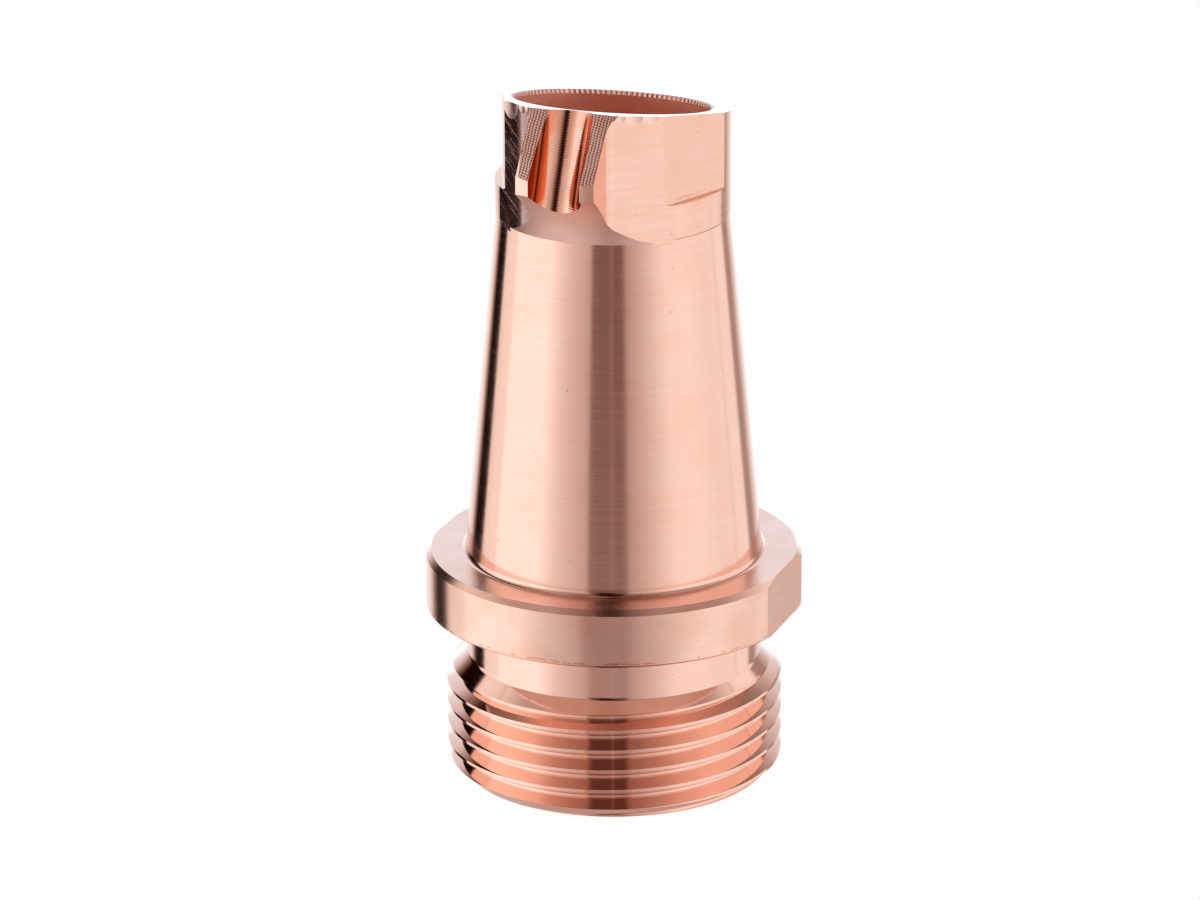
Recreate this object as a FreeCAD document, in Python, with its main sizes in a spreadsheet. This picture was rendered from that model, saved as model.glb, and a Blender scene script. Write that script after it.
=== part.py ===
import FreeCAD
import Part
import Sketcher
import math
import os

# Copper nozzle for laser welding with fed wire, turned and milled from one bar.
# The axis is Z, from the threaded end at z = 0 up to the tip.
# The nose with the wire channel points to -Y and the spanner flats face +X and -X.

doc = FreeCAD.newDocument("LaserNozzle")

# Driving sizes in millimetres and degrees; heights are above the threaded end
driving = [
    ("thread_diameter", 16.0, "outside of the thread"),
    ("thread_end_chamfer", 0.62, "chamfer at the open end"),
    ("thread_length", 4.8, "open end to the top of the full thread"),
    ("neck_diameter", 14.0, "undercut between thread and flange"),
    ("neck_length", 2.3, "straight part of the undercut"),
    ("neck_fillet", 0.25, "corner radius at the foot of the undercut"),
    ("flange_thickness", 2.82, "seat to top face"),
    ("flange_diameter", 17.9, "outside of the flange"),
    ("flange_top_chamfer", 0.25, "edge break on top"),
    ("flange_seat_chamfer", 0.12, "edge break at the seat"),
    ("flat_depth", 0.35, "spanner flat inside the flange's outside"),
    ("cone_foot_diameter", 14.1, "cone at the flange's top face"),
    ("cone_foot_fillet", 0.3, "corner radius at the foot of the cone"),
    ("cone_length", 16.66, "flange's top face to the foot of the flare"),
    ("cone_top_wall", 0.935, "wall round the bore at the top of the cone"),
    ("flare_height", 2.77, "foot to top of the flare"),
    ("flare_radius", 7.5, "hollow of the flare"),
    ("nose_depth", 3.35, "bore to the turned front of the nose"),
    ("rim_stock", 1.2, "bar above the high side of the rim before the slanted cut"),
    ("mouth_diameter", 12.0, "bore at the threaded end"),
    ("mouth_depth", 4.0, "straight part of the mouth"),
    ("mouth_chamfer", 0.4, "edge break of the mouth"),
    ("bore_diameter", 9.06, "bore at the tip"),
    ("tip_bore_length", 4.87, "straight bore below the middle of the rim"),
    ("collar_wall", 0.97, "wall round the bore at the sides and back of the head"),
    ("collar_drop", 0.16, "start of the milled outline below the flare"),
    ("wedge_angle", 45.0, "normal of a wedge flat to the nose direction"),
    ("wedge_wall", 0.92, "thinnest wall behind a wedge flat"),
    ("nose_width", 3.8, "across the nose"),
    ("nose_corner_radius", 0.85, "hollow corner between nose and wedge flat"),
    ("side_flat_angle", 67.3, "normal of a side flat to the nose direction"),
    ("side_wall", 0.545, "thinnest wall behind a side flat"),
    ("ledge_rise", 1.67, "ledge under a side flat above the foot of the flare"),
    ("rib_face_angle", 40.0, "lean of the rib faces to the axis"),
    ("rib_wall", 0.917, "rib faces to the bore at the rim"),
    ("channel_width", 2.5, "wire channel across its walls"),
    ("channel_angle", 23.3, "lean of the channel to the axis"),
    ("channel_wall", 0.37, "channel floor to the bore at the rim"),
    ("head_height", 5.29, "foot of the flare to the middle of the rim"),
    ("rim_angle", 10.3, "slope of the rim, rising towards the nose"),
    ("rim_edge_chamfer", 0.12, "edge break between rim and bore"),
    ("overrun", 4.0, "how far a cutter passes outside the metal"),
]
sheet = doc.addObject("Spreadsheet::Sheet", "Sizes")
for row, (alias, value, note) in enumerate(driving, start=1):
    sheet.set("A%d" % row, alias)
    sheet.set("B%d" % row, str(value))
    sheet.set("C%d" % row, note)
    sheet.setAlias("B%d" % row, alias)
doc.recompute()

nozzle = doc.addObject("PartDesign::Body", "NozzleBody")
nozzle.Label = "nozzle_body"
nozzle.Placement = FreeCAD.Placement()


# Sketch on one of the body's own origin planes
def sketch_on(role, name):
    sketch = nozzle.newObject("Sketcher::SketchObject", name)
    planes = [plane for plane in nozzle.Origin.OriginFeatures if plane.Role == role]
    sketch.AttachmentSupport = (planes[0], [""])
    sketch.MapMode = "FlatFace"
    return sketch


# Hold one end of a line at a place given by two formulas
def pin(sketch, line, end, x, y):
    for kind, axis, formula in (("DistanceX", -2, x), ("DistanceY", -1, y)):
        if formula == "0":
            sketch.addConstraint(Sketcher.Constraint("PointOnObject", line, end, axis))
            continue
        value = sketch.evalExpression(formula)
        held = sketch.addConstraint(Sketcher.Constraint(kind, -1, 1, line, end, float(value)))
        sketch.setExpression("Constraints[%d]" % held, formula)


# Arc between two points, its centre to the left (side 1) or right (side -1) of the way
def arc_between(start, end, radius, side):
    way = end - start
    left = FreeCAD.Vector(-way.y, way.x, 0).normalize()
    rise = radius - math.sqrt(radius ** 2 - (way.Length / 2) ** 2)
    return Part.Arc(start, start + way / 2 - left * side * rise, end)


# Closed outline through corners given as formulas for x and y.
# A corner may also give the radius and side of the arc that leaves it.
def outline(sketch, corners):
    points = []
    for corner in corners:
        x, y = [float(sketch.evalExpression(formula)) for formula in corner[:2]]
        points.append(FreeCAD.Vector(x, y, 0))
    lines = []
    for corner, start, end in zip(corners, points, points[1:] + points[:1]):
        if len(corner) == 2:
            line = sketch.addGeometry(Part.LineSegment(start, end), False)
            lines.append((line, 1, 2))
            continue
        radius = float(sketch.evalExpression(corner[2]))
        line = sketch.addGeometry(arc_between(start, end, radius, corner[3]), False)
        forward = sketch.getPoint(line, 1).distanceToPoint(start) < radius / 1000
        lines.append((line, 1, 2) if forward else (line, 2, 1))
    for corner, (line, near, far), after in zip(corners, lines, lines[1:] + lines[:1]):
        sketch.addConstraint(Sketcher.Constraint("Coincident", line, far, after[0], after[1]))
        pin(sketch, line, near, corner[0], corner[1])
        if len(corner) > 2:
            radius = float(sketch.evalExpression(corner[2]))
            bend = sketch.addConstraint(Sketcher.Constraint("Radius", line, radius))
            sketch.setExpression("Constraints[%d]" % bend, corner[2])


# Cut the sketch's area out of the body, upwards by a length or else right through
def mill(sketch, name, length=None):
    doc.recompute()
    before = nozzle.Shape.Volume
    cut = nozzle.newObject("PartDesign::Pocket", name)
    cut.Profile = sketch
    if length is None:
        cut.Midplane = True
        cut.Type = "ThroughAll"
    else:
        cut.Reversed = True
        cut.setExpression("Length", length)
    doc.recompute()
    if nozzle.Shape.Volume >= before:
        raise RuntimeError(name + " cuts nothing")


# Heights of the main faces above the open end
neck_bottom = "(Sizes.thread_length + (Sizes.thread_diameter - Sizes.neck_diameter) / 2)"
seat = "(%s + Sizes.neck_length)" % neck_bottom
flange_top = "(%s + Sizes.flange_thickness)" % seat
cone_top = "(%s + Sizes.cone_length)" % flange_top
flare_top = "(%s + Sizes.flare_height)" % cone_top
rim_middle = "(%s + Sizes.head_height)" % cone_top

# Distances of the main walls from the axis
thread_reach = "(Sizes.thread_diameter / 2)"
neck_reach = "(Sizes.neck_diameter / 2)"
flange_reach = "(Sizes.flange_diameter / 2)"
foot_reach = "(Sizes.cone_foot_diameter / 2)"
mouth_reach = "(Sizes.mouth_diameter / 2)"
bore_reach = "(Sizes.bore_diameter / 2)"
cone_top_reach = "(%s + Sizes.cone_top_wall)" % bore_reach
nose_reach = "(%s + Sizes.nose_depth)" % bore_reach
collar_reach = "(%s + Sizes.collar_wall)" % bore_reach
wedge_reach = "(%s + Sizes.wedge_wall)" % bore_reach
side_reach = "(%s + Sizes.side_wall)" % bore_reach
rib_reach = "(%s + Sizes.rib_wall)" % bore_reach
channel_reach = "(%s + Sizes.channel_wall)" % bore_reach
nose_side = "(Sizes.nose_width / 2)"
channel_side = "(Sizes.channel_width / 2)"
outside = "(%s + Sizes.overrun)" % nose_reach

# Top of the bar, and how far up a cutter goes past it
bar_top = "(%s + %s * tan(Sizes.rim_angle) + Sizes.rim_stock)" % (rim_middle, nose_reach)
above = "(%s + Sizes.overrun)" % bar_top

# Turned outside, from the open end up to the bar above the rim
lean = "atan((%s - %s) / Sizes.cone_length)" % (foot_reach, cone_top_reach)
foot_run = "Sizes.cone_foot_fillet * tan(45 deg - %s / 2)" % lean
neck_run = "Sizes.neck_fillet * tan(22.5)"
profile = sketch_on("XZ_Plane", "TurnedProfile")
outline(profile, [
    ("0", "0"),
    (thread_reach + " - Sizes.thread_end_chamfer", "0"),
    (thread_reach, "Sizes.thread_end_chamfer"),
    (thread_reach, "Sizes.thread_length"),
    ("%s + %s * cos(45)" % (neck_reach, neck_run), "%s - %s * sin(45)" % (neck_bottom, neck_run),
     "Sizes.neck_fillet", -1),
    (neck_reach, "%s + %s" % (neck_bottom, neck_run)),
    (neck_reach, seat),
    (flange_reach + " - Sizes.flange_seat_chamfer", seat),
    (flange_reach, seat + " + Sizes.flange_seat_chamfer"),
    (flange_reach, flange_top + " - Sizes.flange_top_chamfer"),
    (flange_reach + " - Sizes.flange_top_chamfer", flange_top),
    ("%s + %s" % (foot_reach, foot_run), flange_top, "Sizes.cone_foot_fillet", -1),
    ("%s - %s * sin(%s)" % (foot_reach, foot_run, lean), "%s + %s * cos(%s)" % (flange_top, foot_run, lean)),
    (cone_top_reach, cone_top, "Sizes.flare_radius", -1),
    (nose_reach, flare_top),
    (nose_reach, bar_top),
    ("0", bar_top),
])
doc.recompute()
turned = nozzle.newObject("PartDesign::Revolution", "TurnedBar")
turned.Profile = profile
turned.ReferenceAxis = (profile, ["V_Axis"])
turned.Angle = 360
doc.recompute()

# Milled outline of the head: nose in front, two wedge flats, round sides and back
wedge_corner = "-(%s - %s * sin(Sizes.wedge_angle)) / cos(Sizes.wedge_angle)" % (wedge_reach, nose_side)
corner_run = "Sizes.nose_corner_radius * tan((90 - Sizes.wedge_angle) / 2)"
corner_on_nose = "%s - %s" % (wedge_corner, corner_run)
corner_on_wedge = "%s + %s * sin(Sizes.wedge_angle)" % (wedge_corner, corner_run)
corner_side = "(%s + %s * cos(Sizes.wedge_angle))" % (nose_side, corner_run)
wedge_turn = "(Sizes.wedge_angle * 1 deg + acos(%s / %s))" % (wedge_reach, collar_reach)
wedge_end = "%s * sin%s" % (collar_reach, wedge_turn)
wedge_end_front = "-%s * cos%s" % (collar_reach, wedge_turn)
contour = sketch_on("XY_Plane", "HeadContour")
contour.setExpression("AttachmentOffset.Base.z", cone_top + " - Sizes.collar_drop")
outline(contour, [
    (nose_side, "-" + outside),
    (nose_side, corner_on_nose, "Sizes.nose_corner_radius", -1),
    (corner_side, corner_on_wedge),
    (wedge_end, wedge_end_front, collar_reach, 1),
    ("0", collar_reach, collar_reach, 1),
    ("-" + wedge_end, wedge_end_front),
    ("-" + corner_side, corner_on_wedge, "Sizes.nose_corner_radius", -1),
    ("-" + nose_side, corner_on_nose),
    ("-" + nose_side, "-" + outside),
])
far = "(%s + Sizes.overrun)" % outside
outline(contour, [("-" + far, "-" + far), (far, "-" + far), (far, far), ("-" + far, far)])
mill(contour, "MilledHead", "%s - %s + Sizes.collar_drop" % (above, cone_top))

# Side flats above a small ledge, each from the wedge flat back to the widest point
side_flats = sketch_on("XY_Plane", "SideFlatAreas")
side_flats.setExpression("AttachmentOffset.Base.z", cone_top + " + Sizes.ledge_rise")
beyond = "(%s + Sizes.overrun)" % side_reach
turn = "Sizes.side_flat_angle"
for side in ("", "-"):
    corners = []
    for depth, step in ((side_reach, "-"), (side_reach, "+"), (beyond, "+"), (beyond, "-")):
        x = "(%s * sin(%s) %s %s * cos(%s))" % (depth, turn, step, collar_reach, turn)
        y = "-%s * cos(%s) %s %s * sin(%s)" % (depth, turn, step, collar_reach, turn)
        corners.append((side + x, y))
    outline(side_flats, corners)
mill(side_flats, "SideFlats", "%s - %s - Sizes.ledge_rise" % (above, cone_top))

# Leaning front faces of the two ribs beside the channel
rib_top = "(%s + %s * tan(Sizes.rim_angle))" % (rim_middle, rib_reach)
rib_faces = sketch_on("YZ_Plane", "RibFaceArea")
outline(rib_faces, [
    ("-" + outside, "%s - (%s - %s) / tan(Sizes.rib_face_angle)" % (rib_top, outside, rib_reach)),
    ("(%s - %s) * tan(Sizes.rib_face_angle) - %s" % (above, rib_top, rib_reach), above),
    ("-" + outside, above),
])
mill(rib_faces, "RibFaces")

# Round-bottomed wire channel, leaning in so that it meets the rim just outside the bore
channel = sketch_on("XY_Plane", "ChannelSection")
channel.AttachmentOffset = FreeCAD.Placement(
    FreeCAD.Vector(0, 0, 0), FreeCAD.Rotation(FreeCAD.Vector(-1, 0, 0), 1)
)
channel.setExpression("AttachmentOffset.Base.y", "-" + channel_reach)
channel_top = "%s + %s * tan(Sizes.rim_angle)" % (rim_middle, channel_reach)
channel.setExpression("AttachmentOffset.Base.z", channel_top)
channel.setExpression("AttachmentOffset.Rotation.Angle", "Sizes.channel_angle")
open_side = "-(%s + Sizes.overrun)" % channel_side
outline(channel, [
    (channel_side, open_side),
    (channel_side, "-" + channel_side, channel_side, 1),
    ("0", "0", channel_side, 1),
    ("-" + channel_side, "-" + channel_side),
    ("-" + channel_side, open_side),
])
mill(channel, "WireChannel")

# Slanted rim, high over the nose
rim = sketch_on("YZ_Plane", "RimArea")
outline(rim, [
    ("-" + outside, "%s + %s * tan(Sizes.rim_angle)" % (rim_middle, outside)),
    (outside, "%s - %s * tan(Sizes.rim_angle)" % (rim_middle, outside)),
    (outside, above),
    ("-" + outside, above),
])
mill(rim, "SlantedRim")

# Bore, wide at the threaded end and straight through the tip
bore = sketch_on("XZ_Plane", "BoreProfile")
outline(bore, [
    ("0", "0"),
    (mouth_reach + " + Sizes.mouth_chamfer", "0"),
    (mouth_reach, "Sizes.mouth_chamfer"),
    (mouth_reach, "Sizes.mouth_depth"),
    (bore_reach, rim_middle + " - Sizes.tip_bore_length"),
    (bore_reach, bar_top),
    ("0", bar_top),
])
doc.recompute()
uncut_volume = nozzle.Shape.Volume
drilled = nozzle.newObject("PartDesign::Groove", "Bore")
drilled.Profile = bore
drilled.ReferenceAxis = (bore, ["V_Axis"])
drilled.Angle = 360
doc.recompute()
if nozzle.Shape.Volume >= uncut_volume:
    raise RuntimeError("Bore cuts nothing")

# Edge break where the bore meets the rim, the one closed slanted edge
rim_edges = [
    "Edge%d" % index
    for index, edge in enumerate(nozzle.Shape.Edges, start=1)
    if edge.Curve.TypeId == "Part::GeomEllipse" and edge.isClosed()
]
edge_break = nozzle.newObject("PartDesign::Chamfer", "RimEdgeBreak")
edge_break.Base = (drilled, rim_edges)
edge_break.setExpression("Size", "Sizes.rim_edge_chamfer")
doc.recompute()

# Spanner flats on the flange
spanner = sketch_on("XY_Plane", "SpannerFlatAreas")
spanner.setExpression("AttachmentOffset.Base.z", seat)
half_flats = "(%s - Sizes.flat_depth)" % flange_reach
clear = "(%s + Sizes.overrun)" % flange_reach
for side in ("", "-"):
    outline(spanner, [
        (side + half_flats, "-" + clear),
        (side + clear, "-" + clear),
        (side + clear, clear),
        (side + half_flats, clear),
    ])
mill(spanner, "SpannerFlats", "Sizes.flange_thickness")

# Every step of the model has to be sound before it is written
for item in doc.Objects:
    if "Invalid" in item.State or "Error" in item.State:
        raise RuntimeError(item.Name + " failed")
if nozzle.Shape.isNull() or not nozzle.Shape.isValid() or len(nozzle.Shape.Solids) != 1:
    raise RuntimeError("nozzle_body is not one sound solid")
os.makedirs("parts", exist_ok=True)
nozzle.Shape.exportStep("parts/%s.step" % nozzle.Label)
print(nozzle.Label, "volume", round(nozzle.Shape.Volume, 2), "box", nozzle.Shape.BoundBox)
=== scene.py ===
import bpy, bmesh, math
from mathutils import Matrix, Vector


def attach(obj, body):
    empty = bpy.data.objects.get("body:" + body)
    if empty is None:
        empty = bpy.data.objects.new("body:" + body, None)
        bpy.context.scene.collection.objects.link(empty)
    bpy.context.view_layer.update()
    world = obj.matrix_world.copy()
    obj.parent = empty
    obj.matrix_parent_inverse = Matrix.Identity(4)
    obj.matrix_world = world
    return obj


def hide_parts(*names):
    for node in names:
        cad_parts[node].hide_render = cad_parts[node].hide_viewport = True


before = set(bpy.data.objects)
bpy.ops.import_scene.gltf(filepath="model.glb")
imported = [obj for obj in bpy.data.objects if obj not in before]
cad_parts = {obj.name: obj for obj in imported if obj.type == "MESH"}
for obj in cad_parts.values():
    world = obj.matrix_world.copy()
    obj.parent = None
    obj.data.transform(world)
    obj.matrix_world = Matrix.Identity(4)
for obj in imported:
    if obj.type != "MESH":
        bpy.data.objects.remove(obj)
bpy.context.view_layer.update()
print("frame loaded")

# The nozzle is worked in millimetres and brought to metres at the end.
# The nose points to -Y, and heights start at the threaded end.
turning = {
    "steps": 256,  # round the axis
    "arcSteps": 20,  # in each rounded corner
    "flareSteps": 16,
    "threadRadius": 8.0,
    "threadTop": 4.8,
    "endChamfer": 0.62,
    "neckRadius": 7.0,
    "neckFillet": 0.25,
    "seat": 8.1,
    "flangeTop": 10.92,
    "flangeRadius": 8.945,
    "topChamfer": 0.25,
    "seatChamfer": 0.12,
    "coneFoot": 7.05,
    "footFillet": 0.3,
    "coneTop": 5.465,
    "flareBottom": 27.58,
    "flareTop": 30.35,
    "flareRadius": 7.5,
    "noseRadius": 7.88,
    "barTop": 35.5,
    "mouthRadius": 6.0,
    "mouthDepth": 4.0,
    "mouthChamfer": 0.4,
    "boreRadius": 4.53,
    "boreStraight": 28.0,
    "rimMiddle": 32.87,
    "rimSlope": math.radians(10.3),
    "merge": 0.0005,  # points closer than this are one
    "near": 0.01,  # heights closer than this are level
    "sharpFrom": math.radians(5.5),  # faces that meet at less look smooth
}


# Height of the slanted rim at a distance from the axis towards the nose
def rimHeight(reach):
    return turning["rimMiddle"] + reach * math.tan(turning["rimSlope"])


# Outline through stops (u, v), or (u, v, radius, side, steps) where an arc leaves the stop
# with its centre to the left (side 1) or right (side -1) of the way. It lies in the XZ or XY plane.
def outlineEdges(bm, stops, plane):
    up = Vector((0, 0, 1)) if plane == "XZ" else Vector((0, 1, 0))
    facing = Vector((1, 0, 0)).cross(up)
    for here, after in zip(stops, stops[1:] + stops[:1]):
        start = Vector((here[0], 0, 0)) + up * here[1]
        end = Vector((after[0], 0, 0)) + up * after[1]
        first = bm.verts.new(start)
        if len(here) == 2:
            bm.edges.new((first, bm.verts.new(end)))
            continue
        radius, side, steps = here[2:]
        way = end - start
        left = facing.cross(way).normalized()
        reach = math.sqrt(radius ** 2 - (way.length / 2) ** 2)
        centre = start + way / 2 + left * side * reach
        turn = (start - centre).angle(end - centre) * side
        bmesh.ops.spin(bm, geom=[first], cent=centre, axis=facing, angle=turn, steps=steps)
    bmesh.ops.remove_doubles(bm, verts=bm.verts, dist=turning["merge"])


def objectFrom(bm, name, material):
    bmesh.ops.recalc_face_normals(bm, faces=bm.faces)
    mesh = bpy.data.meshes.new(name)
    bm.to_mesh(mesh)
    bm.free()
    mesh.materials.append(material)
    made = bpy.data.objects.new(name, mesh)
    bpy.context.scene.collection.objects.link(made)
    return made


# Cuts the cutter out of the body; cut faces keep the cutter's finish
def cutWith(body, cutter):
    boolean = body.modifiers.new("cut", "BOOLEAN")
    boolean.operation = "DIFFERENCE"
    boolean.solver = "EXACT"
    boolean.material_mode = "TRANSFER"
    boolean.object = cutter
    depsgraph = bpy.context.evaluated_depsgraph_get()
    done = bpy.data.meshes.new_from_object(body.evaluated_get(depsgraph))
    body.modifiers.clear()
    old = body.data
    body.data = done
    bpy.data.meshes.remove(old)
    bpy.data.objects.remove(cutter)


copper = {
    "polished": (0.97, 0.63, 0.525),
    "warm": (0.95, 0.56, 0.43),
    "pit": (0.4, 0.17, 0.12),
    "contrast": 0.35,  # how far the tool's lines turn dull
    "lined": (0.3, 0.7),  # the tool's lines, from dull to polished
    "cloud": (0.35, 0.75, 0.0, 0.4),  # soft dull patches
    "paintedValleyShade": (0.1, 0.8),  # a ripple, from its valley to its ridge: painted shade lies in the valley and fades out towards the ridge
    "toothRise": 4.0,
    # teeth heights over which painted shade fills the valleys between the teeth
    "paintedToothShade": (-0.15, 0.15),
    "scratch": (0.56, 0.72, 0.0, 1.4),
    "burrRise": -5.0,
    "grainScale": 11.0,
    "poreSize": 0.09,
    "poreRise": -1.5,
    "poreStain": 0.4,
    "gloss": (0.2, 0.9),  # heights between which the roughness changes
    "glossShare": 0.8,
}

# The marks' own patterns; lengths are in millimetres, and a range reads
# start, end, value before it, value past it
pattern = {
    "radialShare": 0.62,  # how fast the rings follow the radius
    "ringDrift": (0.14, 0.14, 0),
    "lineDrift": (0.4, 0.4, 0.4),
    "rippleWaver": 0.14,
    "toothWaver": 0.015,
    "toothStrength": (0.3, 0.5, 0.35, 0.8),
    "poresFrom": 0.48,  # pores lie only in patches
    "hollowPower": 2.0,
    "burrWaver": 0.16,
    "burrWidth": (0.015, 0.05, 1.0, 0.0),
    "burrGaps": (0.48, 0.56, 0.0, 0.9),
}


def newGroup(name, inputs, outputs):
    group = bpy.data.node_groups.new(name, "ShaderNodeTree")
    for title, kind, value in inputs:
        socket = group.interface.new_socket(title, in_out="INPUT", socket_type=kind)
        if value is not None:
            socket.default_value = value
    for title in outputs:
        group.interface.new_socket(title, in_out="OUTPUT", socket_type="NodeSocketFloat")
    return group, group.nodes.new("NodeGroupInput"), group.nodes.new("NodeGroupOutput")


def feed(tree, socket, value):
    if isinstance(value, bpy.types.NodeSocket):
        tree.links.new(value, socket)
    else:
        socket.default_value = value


def mathNode(tree, operation, *values):
    node = tree.nodes.new("ShaderNodeMath")
    node.operation = operation
    for socket, value in zip(node.inputs, values):
        feed(tree, socket, value)
    return node.outputs[0]


def vectorNode(tree, operation, *values):
    node = tree.nodes.new("ShaderNodeVectorMath")
    node.operation = operation
    for socket, value in zip(node.inputs, values):
        feed(tree, socket, value)
    return node


def rangeNode(tree, value, start, end, low, high):
    node = tree.nodes.new("ShaderNodeMapRange")
    node.interpolation_type = "SMOOTHSTEP"
    tree.links.new(value, node.inputs["Value"])
    node.inputs["From Min"].default_value = start
    node.inputs["From Max"].default_value = end
    node.inputs["To Min"].default_value = low
    node.inputs["To Max"].default_value = high
    return node.outputs[0]


def noiseNode(tree, vector, scale, detail=2.0, roughness=0.5):
    node = tree.nodes.new("ShaderNodeTexNoise")
    node.inputs["Scale"].default_value = scale
    node.inputs["Detail"].default_value = detail
    node.inputs["Roughness"].default_value = roughness
    tree.links.new(vector, node.inputs["Vector"])
    return node.outputs["Fac"]


# Fine rings that a turning tool leaves; they follow height and radius
def makeTurningLines():
    group, given, result = newGroup(
        "turningLines",
        [("Vector", "NodeSocketVector", None), ("Lines per mm", "NodeSocketFloat", 9.0)],
        ["Height"],
    )
    flat = vectorNode(group, "MULTIPLY", given.outputs["Vector"], (1, 1, 0)).outputs["Vector"]
    radius = vectorNode(group, "LENGTH", flat).outputs["Value"]
    radial = mathNode(group, "MULTIPLY", radius, pattern["radialShare"])
    split = group.nodes.new("ShaderNodeSeparateXYZ")
    group.links.new(given.outputs["Vector"], split.inputs[0])
    along = mathNode(group, "ADD", split.outputs["Z"], radial)
    often = mathNode(group, "MULTIPLY", along, given.outputs["Lines per mm"])
    joined = group.nodes.new("ShaderNodeCombineXYZ")
    group.links.new(often, joined.inputs["Z"])
    drift = vectorNode(group, "MULTIPLY", given.outputs["Vector"], pattern["ringDrift"])
    place = vectorNode(group, "ADD", joined.outputs[0], drift.outputs["Vector"])
    rings = noiseNode(group, place.outputs["Vector"], scale=1.0, detail=3.0, roughness=0.65)
    group.links.new(rings, result.inputs["Height"])
    return group


# Straight marks that a milling cutter leaves, close together across one direction
def makeCutterLines():
    group, given, result = newGroup(
        "cutterLines",
        [
            ("Vector", "NodeSocketVector", None),
            ("Across", "NodeSocketVector", (0, 0, 1)),
            ("Lines per mm", "NodeSocketFloat", 8.0),
        ],
        ["Height"],
    )
    dot = vectorNode(group, "DOT_PRODUCT", given.outputs["Vector"], given.outputs["Across"])
    often = mathNode(group, "MULTIPLY", dot.outputs["Value"], given.outputs["Lines per mm"])
    stretched = vectorNode(group, "SCALE", given.outputs["Across"])
    group.links.new(often, stretched.inputs["Scale"])
    drift = vectorNode(group, "MULTIPLY", given.outputs["Vector"], pattern["lineDrift"])
    place = vectorNode(group, "ADD", stretched.outputs["Vector"], drift.outputs["Vector"])
    lines = noiseNode(group, place.outputs["Vector"], scale=1.0, detail=3.0, roughness=0.6)
    group.links.new(lines, result.inputs["Height"])
    return group


# Even ripples of a small cutter's feed
def makeRipples():
    group, given, result = newGroup(
        "cutterRipples",
        [
            ("Vector", "NodeSocketVector", None),
            ("Across", "NodeSocketVector", (0, 0, 1)),
            ("Step in mm", "NodeSocketFloat", 0.13),
        ],
        ["Height"],
    )
    dot = vectorNode(group, "DOT_PRODUCT", given.outputs["Vector"], given.outputs["Across"])
    uneven = noiseNode(group, given.outputs["Vector"], scale=1.6)
    waver = mathNode(group, "MULTIPLY", uneven, pattern["rippleWaver"])
    place = mathNode(group, "ADD", dot.outputs["Value"], waver)
    turns = mathNode(group, "DIVIDE", place, given.outputs["Step in mm"])
    wave = mathNode(group, "SINE", mathNode(group, "MULTIPLY", turns, math.pi))
    group.links.new(mathNode(group, "ABSOLUTE", wave), result.inputs["Height"])
    return group


# Chatter teeth round the axis, as on the broken edge of the rim
def makeTeeth():
    group, given, result = newGroup(
        "chatterTeeth",
        [("Vector", "NodeSocketVector", None), ("Teeth", "NodeSocketFloat", 190.0)],
        ["Height"],
    )
    split = group.nodes.new("ShaderNodeSeparateXYZ")
    group.links.new(given.outputs["Vector"], split.inputs[0])
    angle = mathNode(group, "ARCTAN2", split.outputs["Y"], split.outputs["X"])
    uneven = noiseNode(group, given.outputs["Vector"], scale=1.2)
    waver = mathNode(group, "MULTIPLY", uneven, pattern["toothWaver"])
    turned = mathNode(group, "ADD", angle, waver)
    wave = mathNode(group, "SINE", mathNode(group, "MULTIPLY", turned, given.outputs["Teeth"]))
    patches = noiseNode(group, given.outputs["Vector"], scale=0.8)
    strength = rangeNode(group, patches, *pattern["toothStrength"])
    group.links.new(mathNode(group, "MULTIPLY", wave, strength), result.inputs["Height"])
    return group


# Small pores and specks in the copper
def makePores():
    group, given, result = newGroup(
        "pores",
        [
            ("Vector", "NodeSocketVector", None),
            ("Cells per mm", "NodeSocketFloat", 1.6),
            ("Size", "NodeSocketFloat", 0.05),
        ],
        ["Mask"],
    )
    cells = group.nodes.new("ShaderNodeTexVoronoi")
    group.links.new(given.outputs["Vector"], cells.inputs["Vector"])
    group.links.new(given.outputs["Cells per mm"], cells.inputs["Scale"])
    shade = group.nodes.new("ShaderNodeSeparateColor")
    group.links.new(cells.outputs["Color"], shade.inputs[0])
    radius = mathNode(group, "MULTIPLY", shade.outputs[0], given.outputs["Size"])
    inside = mathNode(group, "LESS_THAN", cells.outputs["Distance"], radius)
    patches = noiseNode(group, given.outputs["Vector"], scale=0.35)
    chosen = mathNode(group, "GREATER_THAN", patches, pattern["poresFrom"])
    group.links.new(mathNode(group, "MULTIPLY", inside, chosen), result.inputs["Mask"])
    return group


# Hollow of the left wedge flat where it rises to the nose
def makeHollow():
    group, given, result = newGroup(
        "cornerHollow",
        [
            ("Vector", "NodeSocketVector", None),
            ("Start", "NodeSocketFloat", -2.9),
            ("End", "NodeSocketFloat", -1.5),
            ("Rise", "NodeSocketFloat", 40.0),
        ],
        ["Height"],
    )
    split = group.nodes.new("ShaderNodeSeparateXYZ")
    group.links.new(given.outputs["Vector"], split.inputs[0])
    run = mathNode(group, "SUBTRACT", split.outputs["X"], given.outputs["Start"])
    whole = mathNode(group, "SUBTRACT", given.outputs["End"], given.outputs["Start"])
    share = mathNode(group, "MAXIMUM", mathNode(group, "DIVIDE", run, whole), 0.0)
    curve = mathNode(group, "POWER", share, pattern["hollowPower"])
    bowl = mathNode(group, "MULTIPLY", curve, given.outputs["Rise"])
    group.links.new(bowl, result.inputs["Height"])
    return group


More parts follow.
